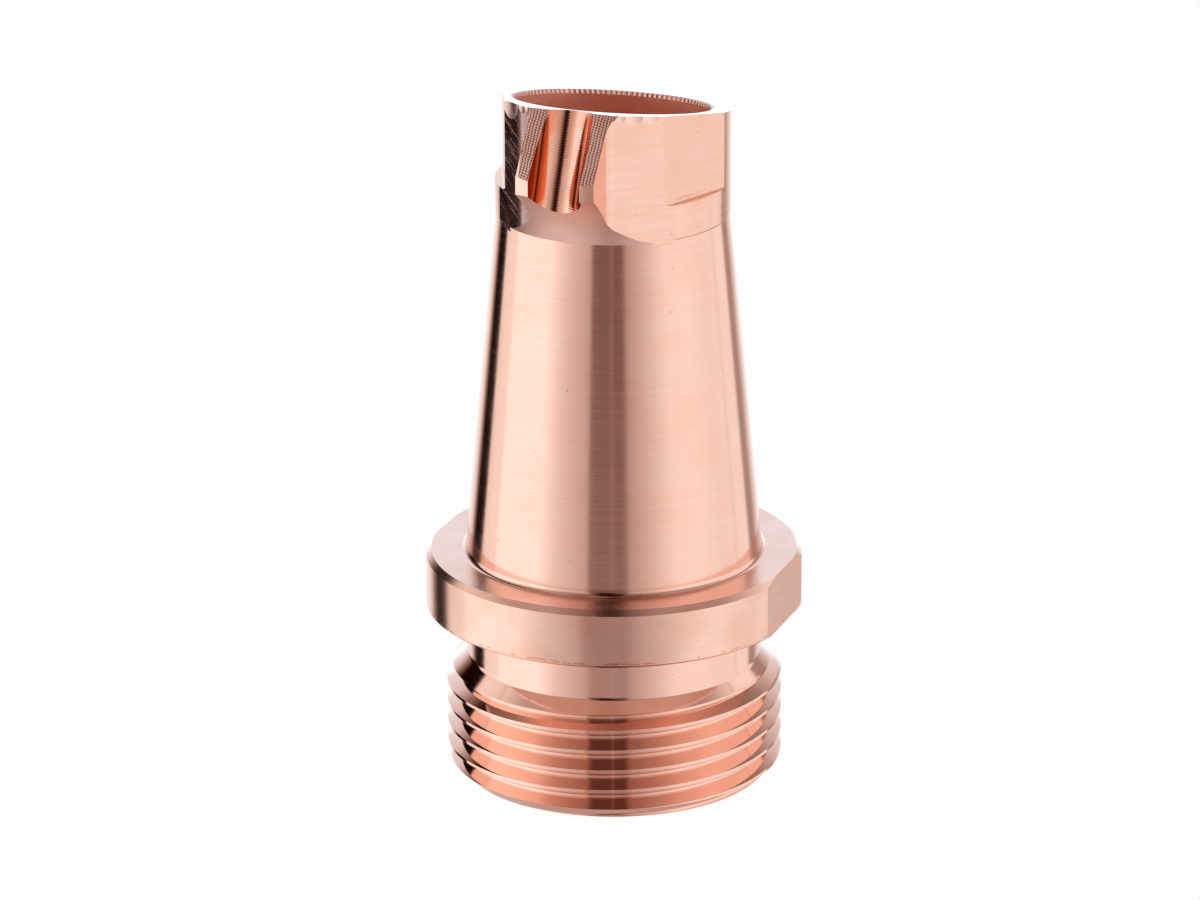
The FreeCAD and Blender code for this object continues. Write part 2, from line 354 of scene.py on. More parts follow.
# Broken line that a burr leaves round the axis at one height
def makeBrokenLine():
    group, given, result = newGroup(
        "brokenLine",
        [("Vector", "NodeSocketVector", None), ("Height", "NodeSocketFloat", 8.3)],
        ["Mask"],
    )
    split = group.nodes.new("ShaderNodeSeparateXYZ")
    group.links.new(given.outputs["Vector"], split.inputs[0])
    uneven = noiseNode(group, given.outputs["Vector"], scale=2.2, detail=3.0)
    waver = mathNode(group, "MULTIPLY", uneven, pattern["burrWaver"])
    above = mathNode(group, "SUBTRACT", split.outputs["Z"], given.outputs["Height"])
    apart = mathNode(group, "ABSOLUTE", mathNode(group, "ADD", above, waver))
    line = rangeNode(group, apart, *pattern["burrWidth"])
    broken = noiseNode(group, given.outputs["Vector"], scale=1.4, detail=4.0, roughness=0.7)
    gaps = rangeNode(group, broken, *pattern["burrGaps"])
    group.links.new(mathNode(group, "MULTIPLY", line, gaps), result.inputs["Mask"])
    return group


turningLines = makeTurningLines()
cutterLines = makeCutterLines()
cutterRipples = makeRipples()
chatterTeeth = makeTeeth()
pores = makePores()
cornerHollow = makeHollow()
brokenLine = makeBrokenLine()


def placeGroup(tree, group, vector, values):
    node = tree.nodes.new("ShaderNodeGroup")
    node.node_tree = group
    tree.links.new(vector, node.inputs["Vector"])
    for title, value in values.items():
        node.inputs[title].default_value = value
    return node.outputs[0]


def addShare(tree, base, extra, share):
    return mathNode(tree, "ADD", base, mathNode(tree, "MULTIPLY", extra, share))


def mixColors(tree, factor, first, second):
    node = tree.nodes.new("ShaderNodeMix")
    node.data_type = "RGBA"
    feed(tree, node.inputs["Factor"], factor)
    feed(tree, node.inputs[6], first)
    feed(tree, node.inputs[7], second)
    return node.outputs[2]


# One bare copper finish: its tone, gloss and the marks that the tool left
def copperFinish(name, look):
    material = bpy.data.materials.new(name)
    material.use_nodes = True
    tree = material.node_tree
    shader = tree.nodes["Principled BSDF"]
    shader.inputs["Metallic"].default_value = 1.0
    place = tree.nodes.new("ShaderNodeTexCoord")
    scaled = vectorNode(tree, "SCALE", place.outputs["Object"])
    scaled.inputs["Scale"].default_value = 1000.0  # patterns are sized in millimetres
    vector = scaled.outputs["Vector"]

    if look["marks"] == "turned":
        marks = placeGroup(tree, turningLines, vector, {"Lines per mm": look["lines"]})
    else:
        milled = {"Across": look["across"], "Lines per mm": look["lines"]}
        marks = placeGroup(tree, cutterLines, vector, milled)
    height = marks
    paintedShadeAndBurr = 0.0
    # Ripple valleys take the dull tone as painted shade
    for across, step, share in look.get("ripples", []):
        ripples = placeGroup(tree, cutterRipples, vector, {"Across": across, "Step in mm": step})
        height = addShare(tree, height, ripples, share)
        paintedValleyShade = rangeNode(tree, ripples, *copper["paintedValleyShade"], look["paintedShadeAndBurr"], 0.0)
        paintedShadeAndBurr = mathNode(tree, "ADD", paintedShadeAndBurr, paintedValleyShade)
    if "teeth" in look:
        teeth = placeGroup(tree, chatterTeeth, vector, {"Teeth": look["teeth"]})
        height = addShare(tree, height, teeth, copper["toothRise"])
        # The valleys between the teeth take the dull tone as painted shade
        paintedShadeAndBurr = rangeNode(tree, teeth, *copper["paintedToothShade"], look["paintedShadeAndBurr"], 0.0)
    if "hollow" in look:
        hollow = placeGroup(tree, cornerHollow, vector, look["hollow"])
        height = mathNode(tree, "ADD", height, hollow)
        scratches = placeGroup(tree, cutterLines, vector, look["scratches"])
        height = mathNode(tree, "ADD", height, rangeNode(tree, scratches, *copper["scratch"]))
    # The channel's walls take the dull tone as painted shade
    if "walls" in look:
        middle = vectorNode(tree, "DOT_PRODUCT", vector, (1, 0, 0)).outputs["Value"]
        across = mathNode(tree, "ABSOLUTE", middle)
        paintedShadeAndBurr = mathNode(tree, "ADD", paintedShadeAndBurr, rangeNode(tree, across, *look["walls"]))
    if "burr" in look:
        paintedShadeAndBurr = placeGroup(tree, brokenLine, vector, {"Height": look["burr"]})
        height = addShare(tree, height, paintedShadeAndBurr, copper["burrRise"])
    if "grain" in look:
        grain = noiseNode(tree, vector, copper["grainScale"], detail=3.0, roughness=0.6)
        height = addShare(tree, height, grain, look["grain"])
    cells = {"Cells per mm": look["pores"], "Size": copper["poreSize"]}
    speck = placeGroup(tree, pores, vector, cells)
    height = addShare(tree, height, speck, copper["poreRise"])

    bump = tree.nodes.new("ShaderNodeBump")
    bump.inputs["Strength"].default_value = 1.0
    bump.inputs["Distance"].default_value = look["depth"] * 0.001
    tree.links.new(height, bump.inputs["Height"])
    tree.links.new(bump.outputs["Normal"], shader.inputs["Normal"])

    patches = noiseNode(tree, vector, scale=0.45, detail=4.0)
    cloud = rangeNode(tree, patches, *copper["cloud"])
    contrast = look.get("contrast", copper["contrast"])
    lined = rangeNode(tree, marks, *copper["lined"], contrast, 0.0)
    # The dull tone goes on the tool's dull lines and patches and on the burr line, and as painted shade
    # in valleys and on walls
    dullAndShade = mathNode(tree, "ADD", mathNode(tree, "ADD", cloud, lined), paintedShadeAndBurr)
    brightTone = (*look.get("tone", copper["polished"]), 1)
    dullAndShadeTone = (*look.get("dullAndShade", copper["warm"]), 1)
    tone = mixColors(tree, dullAndShade, brightTone, dullAndShadeTone)
    stain = mathNode(tree, "MULTIPLY", speck, copper["poreStain"])
    stained = mixColors(tree, stain, tone, (*copper["pit"], 1))
    tree.links.new(stained, shader.inputs["Base Color"])

    worn = mathNode(tree, "MULTIPLY", mathNode(tree, "ADD", height, cloud), copper["glossShare"])
    gloss = rangeNode(tree, worn, *copper["gloss"], *look["roughness"])
    tree.links.new(gloss, shader.inputs["Roughness"])
    return material


turnedFinish = copperFinish("turnedCopper", {
    "marks": "turned", "lines": 9.0, "depth": 0.0012, "roughness": (0.09, 0.15), "pores": 1.4,
    "contrast": 0.5, "grain": 0.3,
})
threadFinish = copperFinish("threadCopper", {
    "marks": "turned", "lines": 13.0, "depth": 0.0008, "roughness": (0.05, 0.1), "pores": 2.2,
    "tone": (0.96, 0.62, 0.51), "dullAndShade": (0.95, 0.55, 0.43),
})
flareFinish = copperFinish("flareCopper", {
    "marks": "turned", "lines": 7.0, "depth": 0.0016, "roughness": (0.34, 0.46), "pores": 1.4,
    "tone": (0.95, 0.65, 0.56), "dullAndShade": (0.92, 0.56, 0.45),
})
flangeFinish = copperFinish("flangeSideCopper", {
    "marks": "turned", "lines": 6.0, "depth": 0.0012, "roughness": (0.09, 0.17), "pores": 2.6,
    "grain": 1.3, "contrast": 0.12, "tone": (0.95, 0.62, 0.51), "dullAndShade": (0.82, 0.42, 0.3), "burr": 8.38,
})
flangeTopFinish = copperFinish("flangeTopCopper", {
    "marks": "turned", "lines": 8.0, "depth": 0.002, "roughness": (0.24, 0.34), "pores": 1.4,
    "tone": (0.96, 0.66, 0.57), "dullAndShade": (0.93, 0.58, 0.47),
})
boreFinish = copperFinish("boreCopper", {
    "marks": "turned", "lines": 6.0, "depth": 0.004, "roughness": (0.46, 0.62), "pores": 1.2,
    "tone": (1.0, 0.58, 0.45), "dullAndShade": (0.99, 0.43, 0.28),
})
seatFinish = copperFinish("seatCopper", {
    "marks": "turned", "lines": 7.0, "depth": 0.002, "roughness": (0.3, 0.42), "pores": 1.4,
    "tone": (0.86, 0.62, 0.54), "dullAndShade": (0.82, 0.54, 0.45),
})
headFinish = copperFinish("headCopper", {
    "marks": "milled", "across": (0.02, 0.03, 0.99), "lines": 8.0, "depth": 0.003,
    "roughness": (0.15, 0.25), "pores": 1.6, "contrast": 0.9,
})
# Its tone leans to purple: a painted shade tint on the wedge flat that faces left and to the front
wedgeShadeTintFinish = copperFinish("leftWedgeShadeTintCopper", {
    "marks": "milled", "across": (0.45, -0.3, 0.84), "lines": 5.0, "depth": 0.002,
    "roughness": (0.11, 0.19), "pores": 1.6, "contrast": 0.6, "tone": (0.97, 0.6, 0.53),
    "hollow": {"Start": -2.95, "End": -2.15, "Rise": 78.0},
    "scratches": {"Across": (0.3, -0.2, 0.9), "Lines per mm": 6.5},
})
ledgeFinish = copperFinish("sideFlatCopper", {
    "marks": "milled", "across": (-0.03, 0.02, 0.99), "lines": 8.0, "depth": 0.003,
    "roughness": (0.17, 0.27), "pores": 1.6, "contrast": 0.9, "tone": (0.96, 0.61, 0.5),
})
# The rim's pale tone, near white, is a painted highlight where the flat rim catches the light
rimHighlightFinish = copperFinish("rimPaintedHighlightCopper", {
    "marks": "milled", "across": (0.5, 0.86, 0), "lines": 7.0, "depth": 0.001, "roughness": (0.16, 0.24),
    "pores": 1.2, "tone": (0.99, 0.78, 0.71), "dullAndShade": (0.98, 0.73, 0.64),
})
# The broken edge's pale tone is a painted highlight on the chatter teeth, and its dark dull tone is
# painted shade between them
edgeGlintAndShadeFinish = copperFinish("rimEdgeGlintAndShadeCopper", {
    "marks": "milled", "across": (0, 0, 1), "lines": 5.0, "depth": 0.006, "roughness": (0.18, 0.3),
    "pores": 1.2, "teeth": 112.0, "paintedShadeAndBurr": 0.9, "tone": (0.99, 0.74, 0.66), "dullAndShade": (0.6, 0.2, 0.13),
})
ribFinish = copperFinish("ribCopperPaintedShade", {
    "marks": "milled", "across": (1, 0, 0), "lines": 3.0, "depth": 0.006, "roughness": (0.2, 0.3),
    "ripples": [((1, 0, 0), 0.15, 1.6), ((0.25, 0.62, 0.74), 0.12, 1.2)],  # across, step, height
    # its dark dull tone is painted shade in the valleys of its ripples
    "paintedShadeAndBurr": 0.5, "pores": 1.6, "tone": (0.98, 0.68, 0.58), "dullAndShade": (0.7, 0.36, 0.28),
})
channelFinish = copperFinish("channelCopperPaintedShade", {
    "marks": "milled", "across": (1, 0, 0), "lines": 2.0, "depth": 0.003, "roughness": (0.05, 0.1),
    "ripples": [((0.16, 0.39, 0.91), 0.115, 0.8)], "paintedShadeAndBurr": 0.25,
    "walls": (0.7, 1.15, 0.0, 1.2),  # from the channel's middle to its walls, which take the dark dull tone as painted shade
    "pores": 1.6, "tone": (0.96, 0.59, 0.47), "dullAndShade": (0.76, 0.27, 0.14),
})
spannerFinish = copperFinish("spannerFlatCopper", {
    "marks": "milled", "across": (0, 0.05, 0.99), "lines": 9.0, "depth": 0.0014, "roughness": (0.38, 0.5),
    "pores": 1.6, "contrast": 0.6, "tone": (0.98, 0.69, 0.6),
})
deburrFinish = copperFinish("deburredCopper", {
    "marks": "milled", "across": (0.8, 0.5, 0.3), "lines": 4.0, "depth": 0.002, "roughness": (0.2, 0.32),
    "pores": 1.6, "tone": (0.98, 0.69, 0.59), "dullAndShade": (0.94, 0.57, 0.46),
})
print("finishes made")


# The turned bar with its bore
def makeBar():
    t = turning
    neckBottom = t["threadTop"] + t["threadRadius"] - t["neckRadius"]
    shoulder = math.radians(45)
    neckRun = t["neckFillet"] * math.tan(shoulder / 2)
    lean = math.atan((t["coneFoot"] - t["coneTop"]) / (t["flareBottom"] - t["flangeTop"]))
    footRun = t["footFillet"] * math.tan(math.pi / 4 - lean / 2)
    neckArc = (t["neckFillet"], -1, t["arcSteps"])
    footArc = (t["footFillet"], -1, t["arcSteps"])
    flareArc = (t["flareRadius"], -1, t["flareSteps"])
    diagonal = math.sqrt(0.5)  # the shoulder leans at 45 degrees
    stops = [
        (t["mouthRadius"] + t["mouthChamfer"], 0),
        (t["threadRadius"] - t["endChamfer"], 0),
        (t["threadRadius"], t["endChamfer"]),
        (t["threadRadius"], t["threadTop"]),
        (t["neckRadius"] + neckRun * diagonal, neckBottom - neckRun * diagonal, *neckArc),
        (t["neckRadius"], neckBottom + neckRun),
        (t["neckRadius"], t["seat"]),
        (t["flangeRadius"] - t["seatChamfer"], t["seat"]),
        (t["flangeRadius"], t["seat"] + t["seatChamfer"]),
        (t["flangeRadius"], t["flangeTop"] - t["topChamfer"]),
        (t["flangeRadius"] - t["topChamfer"], t["flangeTop"]),
        (t["coneFoot"] + footRun, t["flangeTop"], *footArc),
        (t["coneFoot"] - footRun * math.sin(lean), t["flangeTop"] + footRun * math.cos(lean)),
        (t["coneTop"], t["flareBottom"], *flareArc),
        (t["noseRadius"], t["flareTop"]),
        (t["noseRadius"], t["barTop"]),
        (t["boreRadius"], t["barTop"]),
        (t["boreRadius"], t["boreStraight"]),
        (t["mouthRadius"], t["mouthDepth"]),
        (t["mouthRadius"], t["mouthChamfer"]),
    ]
    bm = bmesh.new()
    outlineEdges(bm, stops, "XZ")
    bmesh.ops.spin(
        bm, geom=bm.verts[:] + bm.edges[:], cent=(0, 0, 0), axis=(0, 0, 1),
        angle=2 * math.pi, steps=t["steps"], use_merge=True,
    )
    bmesh.ops.remove_doubles(bm, verts=bm.verts, dist=turning["merge"])
    for vert in bm.verts:
        if abs(vert.co.z - t["barTop"]) < t["near"]:
            vert.co.z = rimHeight(-vert.co.y)
    bar = objectFrom(bm, "nozzle", turnedFinish)
    finishes = [
        turnedFinish, boreFinish, threadFinish, flangeFinish, flangeTopFinish, rimHighlightFinish,
        flareFinish, seatFinish,
    ]
    for finish in finishes[1:]:
        bar.data.materials.append(finish)
    for face in bar.data.polygons:
        middle = face.center
        reach = math.hypot(middle.x, middle.y)
        inwards = face.normal.x * middle.x + face.normal.y * middle.y < -0.5
        finish = turnedFinish
        if face.normal.z > 0.5 and middle.z > t["flareTop"]:
            finish = rimHighlightFinish
        elif inwards and reach < t["mouthRadius"] + t["mouthChamfer"]:
            finish = boreFinish
        elif t["flareBottom"] < middle.z < t["flareTop"]:
            finish = flareFinish
        elif abs(middle.z - t["seat"]) < t["near"]:
            finish = seatFinish
        elif middle.z < neckBottom:
            finish = threadFinish
        elif reach > t["flangeRadius"] - t["topChamfer"] - 0.05:
            finish = flangeFinish
        elif abs(middle.z - t["flangeTop"]) < t["near"]:
            finish = flangeTopFinish
        face.material_index = finishes.index(finish)
    return bar


nozzle = makeBar()
print("bar turned", len(nozzle.data.polygons))


thread = {
    "pitch": 1.0,
    "rootRadius": 7.39,
    "rootHalf": 0.06,  # half the flat at the root
    "flank": math.radians(30),
    "rootRound": 0.04,
    "clear": 0.06,  # cutter outside the crest
    "rootOnX": 0.24,  # height of the root where the groove crosses +X
    "turnsBelow": 1,
    "turns": 7,
    "steps": 192,  # in one turn
}


def cutThread(bar):
    outer = turning["threadRadius"] + thread["clear"]
    base = thread["rootOnX"] - thread["turnsBelow"] * thread["pitch"]
    inner = thread["rootRadius"]
    half = thread["rootHalf"]
    shoulder = inner + thread["rootRound"]
    shoulderHalf = half + thread["rootRound"]
    mouthHalf = shoulderHalf + (outer - shoulder) * math.tan(thread["flank"])
    bm = bmesh.new()
    outlineEdges(bm, [
        (inner, base - half), (inner, base + half), (shoulder, base + shoulderHalf),
        (outer, base + mouthHalf), (outer, base - mouthHalf), (shoulder, base - shoulderHalf),
    ], "XZ")
    steps = thread["steps"] * thread["turns"]
    bmesh.ops.spin(
        bm, geom=bm.verts[:] + bm.edges[:], cent=(0, 0, 0), axis=(0, 0, 1),
        dvec=(0, 0, thread["pitch"] / thread["steps"]), angle=2 * math.pi * thread["turns"],
        steps=steps,
    )
    bmesh.ops.edgeloop_fill(bm, edges=[edge for edge in bm.edges if edge.is_boundary])
    cutWith(bar, objectFrom(bm, "threadCutter", threadFinish))


cutThread(nozzle)
print("thread cut", len(nozzle.data.polygons))


head = {
    "bottom": 27.42,
    "collarRadius": 5.5,
    "wedgeTurn": math.radians(45),
    "wedgeReach": 5.45,
    "noseHalf": 1.9,
    "cornerRadius": 0.85,
    "sideTurn": math.radians(67.3),
    "sideReach": 5.075,
    "ledge": 29.25,
    "ribLean": math.radians(40),
    "ribReach": 5.447,
    "channelHalf": 1.25,
    "channelLean": math.radians(23.3),
    "channelReach": 4.9,
    "rimEdge": 0.19,  # break of the bore's edge
    "outerEdge": 0.06,
    "ledgeRound": 0.14,
    "roundSteps": 5,
    "leftFacing": 0.6,  # how far the left wedge flat faces the left and the front
    "rimNear": 0.002,  # an edge this close to the rim's plane is on the rim
    "rimMerge": 0.0004,
    "rimCorner": 0.5,  # edges that turn less than this, in radians, aren't broken
    "flatReach": 8.6,
    "flatOver": 0.5,  # how far the spanner cutter is wider than the flange
    "clear": 4.0,
    "block": 24.0,  # side of the blocks that stand for flat cutters
}


# Block whose inner face lies at a point and looks back along a direction
def flatCutter(name, point, towards, size, material, ledgeRound=0.0):
    bm = bmesh.new()
    bmesh.ops.create_cube(bm, size=1)
    bmesh.ops.scale(bm, vec=size, verts=bm.verts)
    bmesh.ops.translate(bm, vec=(0, 0, size[2] / 2), verts=bm.verts)
    if ledgeRound:
        low = [
            edge for edge in bm.edges
            if all(vert.co.y < 0 and vert.co.z < turning["near"] for vert in edge.verts)
        ]
        bmesh.ops.bevel(
            bm, geom=low, offset=ledgeRound, offset_type="OFFSET", segments=head["roundSteps"],
            profile=0.5, affect="EDGES", material=-1,
        )
    turn = Vector(towards).to_track_quat("Z", "Y").to_matrix()
    bmesh.ops.rotate(bm, cent=(0, 0, 0), matrix=turn, verts=bm.verts)
    bmesh.ops.translate(bm, vec=point, verts=bm.verts)
    return objectFrom(bm, name, material)


def outlineCutter():
    sine, cosine = math.sin(head["wedgeTurn"]), math.cos(head["wedgeTurn"])
    side, front = head["noseHalf"], turning["noseRadius"] + head["clear"]
    corner = (head["wedgeReach"] - side * sine) / cosine
    run = head["cornerRadius"] * math.tan((math.pi / 2 - head["wedgeTurn"]) / 2)
    end = head["wedgeTurn"] + math.acos(head["wedgeReach"] / head["collarRadius"])
    endX, endY = head["collarRadius"] * math.sin(end), -head["collarRadius"] * math.cos(end)
    cornerArc = (head["cornerRadius"], -1, turning["arcSteps"] // 2)
    back = (head["collarRadius"], 1, turning["steps"] * 3 // 8)
    bm = bmesh.new()
    outlineEdges(bm, [
        (side, -front),
        (side, -corner - run, *cornerArc),
        (side + run * cosine, -corner + run * sine),
        (endX, endY, *back),
        (0, head["collarRadius"], *back),
        (-endX, endY),
        (-side - run * cosine, -corner + run * sine, *cornerArc),
        (-side, -corner - run),
        (-side, -front),
    ], "XY")
    far = front + head["clear"]
    outlineEdges(bm, [(-far, -far), (far, -far), (far, far), (-far, far)], "XY")
    bmesh.ops.translate(bm, vec=(0, 0, head["bottom"]), verts=bm.verts)
    bmesh.ops.triangle_fill(bm, use_beauty=True, use_dissolve=False, edges=bm.edges, normal=(0, 0, 1))
    grown = bmesh.ops.extrude_face_region(bm, geom=bm.faces[:])
    moved = [item for item in grown["geom"] if isinstance(item, bmesh.types.BMVert)]
    rise = head["clear"] + turning["barTop"] - head["bottom"]
    bmesh.ops.translate(bm, vec=(0, 0, rise), verts=moved)
    return objectFrom(bm, "outlineCutter", headFinish)


def channelCutter():
    half = head["channelHalf"]
    arc = (half, 1, turning["arcSteps"] * 2)
    bm = bmesh.new()
    outlineEdges(bm, [
        (half, -half - head["clear"]), (half, -half, *arc), (0, 0, *arc),
        (-half, -half), (-half, -half - head["clear"]),
    ], "XY")
    bmesh.ops.contextual_create(bm, geom=bm.edges[:])
    bmesh.ops.translate(bm, vec=(0, 0, -2 * head["clear"]), verts=bm.verts)
    grown = bmesh.ops.extrude_face_region(bm, geom=bm.faces[:])
    moved = [item for item in grown["geom"] if isinstance(item, bmesh.types.BMVert)]
    bmesh.ops.translate(bm, vec=(0, 0, 4 * head["clear"]), verts=moved)
    turn = Matrix.Rotation(-head["channelLean"], 3, "X")
    bmesh.ops.rotate(bm, cent=(0, 0, 0), matrix=turn, verts=bm.verts)
    reach = head["channelReach"]
    bmesh.ops.translate(bm, vec=(0, -reach, rimHeight(reach)), verts=bm.verts)
    return objectFrom(bm, "channelCutter", channelFinish)


def millHead(body):
    block = head["block"]
    cutWith(body, outlineCutter())
    print("head outline cut", len(body.data.polygons))
    tall = turning["barTop"] + head["clear"] - head["ledge"]
    flangeMiddle = (turning["seat"] + turning["flangeTop"]) / 2
    for side in (1, -1):
        outward = Vector((side * math.sin(head["sideTurn"]), -math.cos(head["sideTurn"]), 0))
        place = outward * head["sideReach"] + Vector((0, 0, head["ledge"] + tall / 2))
        size = (2 * head["collarRadius"], tall, head["clear"])
        cutWith(body, flatCutter("sideCutter", place, outward, size, ledgeFinish, head["ledgeRound"]))
        place = (side * head["flatReach"], 0, flangeMiddle)
        size = (block, turning["flangeTop"] - turning["seat"] + head["flatOver"], head["clear"])
        cutWith(body, flatCutter("spannerCutter", place, (side, 0, 0), size, spannerFinish))
    outward = Vector((0, -math.cos(head["ribLean"]), math.sin(head["ribLean"])))
    place = (0, -head["ribReach"], rimHeight(head["ribReach"]))
    cutWith(body, flatCutter("ribCutter", place, outward, (block, block, block), ribFinish))
    cutWith(body, channelCutter())
    mesh = body.data
    milled = mesh.materials.find(headFinish.name)
    mesh.materials.append(wedgeShadeTintFinish)
    # Milled faces that face left and to the front take the wedge finish with its painted shade tint
    for face in mesh.polygons:
        facing = min(-face.normal.x, -face.normal.y)
        if face.material_index == milled and facing > head["leftFacing"]:
            face.material_index = len(mesh.materials) - 1


millHead(nozzle)
print("head milled", len(nozzle.data.polygons))


handWork = {
    # a strip's flat goes through three points
    "stripRight": ((1.9, -7.05, 31.95), (2.08, -5.447, 33.86), (2.42, -5.287, 33.83)),
    "stripLeft": ((-1.9, -7.3, 31.6), (-2.14, -5.447, 33.86), (-2.36, -5.347, 33.84)),
    "scoops": [  # x on the wedge flat at the rim, ball radius, depth
        (2.36, 1.3, 0.05),
        (2.85, 2.0, 0.064),
        (3.46, 2.5, 0.041),
        (-2.5, 1.6, 0.05),
        (-3.45, 5.0, 0.09),
    ],
    "scoopTilt": math.radians(2),
    "scoopFineness": 5,
    "stripBlock": (6, 6, 2),
}


def stripCutter(name, corners):
    low, inner, outer = [Vector(corner) for corner in corners]
    outward = (inner - low).cross(outer - low).normalized()
    if outward.y > 0:
        outward.negate()
    return flatCutter(name, low, outward, handWork["stripBlock"], deburrFinish)


def scoopCutter(across, radius, depth):
    side = math.copysign(1, across)
    offset = head["wedgeReach"] / math.cos(head["wedgeTurn"])
    reach = offset - abs(across)
    flat = math.sqrt(0.5) * math.cos(handWork["scoopTilt"])
    outward = Vector((side * flat, -flat, math.sin(handWork["scoopTilt"])))
    bm = bmesh.new()
    bmesh.ops.create_icosphere(bm, subdivisions=handWork["scoopFineness"], radius=radius)
    centre = Vector((across, -reach, rimHeight(reach))) + outward * (radius - depth)
    bmesh.ops.translate(bm, vec=centre, verts=bm.verts)
    return objectFrom(bm, "scoop", deburrFinish)


# Breaks the rim's edges: the bore's edge first, then the outer one
def breakRim(body):
    body.data.materials.append(edgeGlintAndShadeFinish)
    finish = len(body.data.materials) - 1
    for inner, width, steps in ((True, head["rimEdge"], 2), (False, head["outerEdge"], 1)):
        bm = bmesh.new()
        bm.from_mesh(body.data)
        bmesh.ops.remove_doubles(bm, verts=bm.verts, dist=head["rimMerge"])
        wide = [face for face in bm.faces if len(face.verts) > 4]
        bmesh.ops.triangulate(bm, faces=wide)
        chosen = []
        for edge in bm.edges:
            ends = [vert.co for vert in edge.verts]
            onRim = all(abs(end.z - rimHeight(-end.y)) < head["rimNear"] for end in ends)
            inBore = all(math.hypot(end.x, end.y) < turning["boreRadius"] + 0.05 for end in ends)
            if not onRim or inBore != inner or not edge.is_manifold:
                continue
            if edge.calc_face_angle() > head["rimCorner"]:
                chosen.append(edge)
        made = bmesh.ops.bevel(
            bm, geom=chosen, offset=width, offset_type="OFFSET", segments=steps, profile=0.5,
            affect="EDGES", clamp_overlap=True, material=-1,
        )
        for face in made["faces"]:
            face.material_index = finish
        print("rim edge broken", len(chosen))
        bm.to_mesh(body.data)
        bm.free()


cutWith(nozzle, stripCutter("stripRight", handWork["stripRight"]))
cutWith(nozzle, stripCutter("stripLeft", handWork["stripLeft"]))
for scoop in handWork["scoops"]:
    cutWith(nozzle, scoopCutter(*scoop))
breakRim(nozzle)
print("hand work done", len(nozzle.data.polygons))


def finishNozzle(body):
    body.data.transform(Matrix.Scale(0.001, 4))
    body.data.shade_smooth()
    body.data.set_sharp_from_angle(angle=turning["sharpFrom"])
    weighted = body.modifiers.new("weighted", "WEIGHTED_NORMAL")
    weighted.keep_sharp = True
    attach(body, "root")
    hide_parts("nozzle_body")


finishNozzle(nozzle)


studio = {
    "viewTurn": math.radians(-69.55),  # direction from the nozzle to the camera, from +X
    "floorWhite": 0.97,  # how far the floor is plain white to the camera
    "floorColor": (0.92, 0.92, 0.92, 1),
    "floorSize": 6,
}


def makeFloor():
    bm = bmesh.new()
    bmesh.ops.create_grid(bm, x_segments=1, y_segments=1, size=studio["floorSize"])
    material = bpy.data.materials.new("paleFloor")
    material.use_nodes = True
    tree = material.node_tree
    output = tree.nodes["Material Output"]
    tree.nodes.remove(tree.nodes["Principled BSDF"])
    rays = tree.nodes.new("ShaderNodeLightPath")
    paint = tree.nodes.new("ShaderNodeBsdfDiffuse")
    paint.inputs["Color"].default_value = studio["floorColor"]
    white = tree.nodes.new("ShaderNodeEmission")
    white.inputs["Strength"].default_value = 1.0
    seen = tree.nodes.new("ShaderNodeMixShader")
    whitened = mathNode(tree, "MULTIPLY", rays.outputs["Is Camera Ray"], studio["floorWhite"])
    tree.links.new(whitened, seen.inputs["Fac"])
    tree.links.new(paint.outputs[0], seen.inputs[1])
    tree.links.new(white.outputs[0], seen.inputs[2])
    through = tree.nodes.new("ShaderNodeBsdfTransparent")
    mirrored = tree.nodes.new("ShaderNodeMixShader")
    tree.links.new(rays.outputs["Is Glossy Ray"], mirrored.inputs["Fac"])
    tree.links.new(seen.outputs[0], mirrored.inputs[1])
    tree.links.new(through.outputs[0], mirrored.inputs[2])
    tree.links.new(mirrored.outputs[0], output.inputs["Surface"])
    floor = objectFrom(bm, "floor", material)


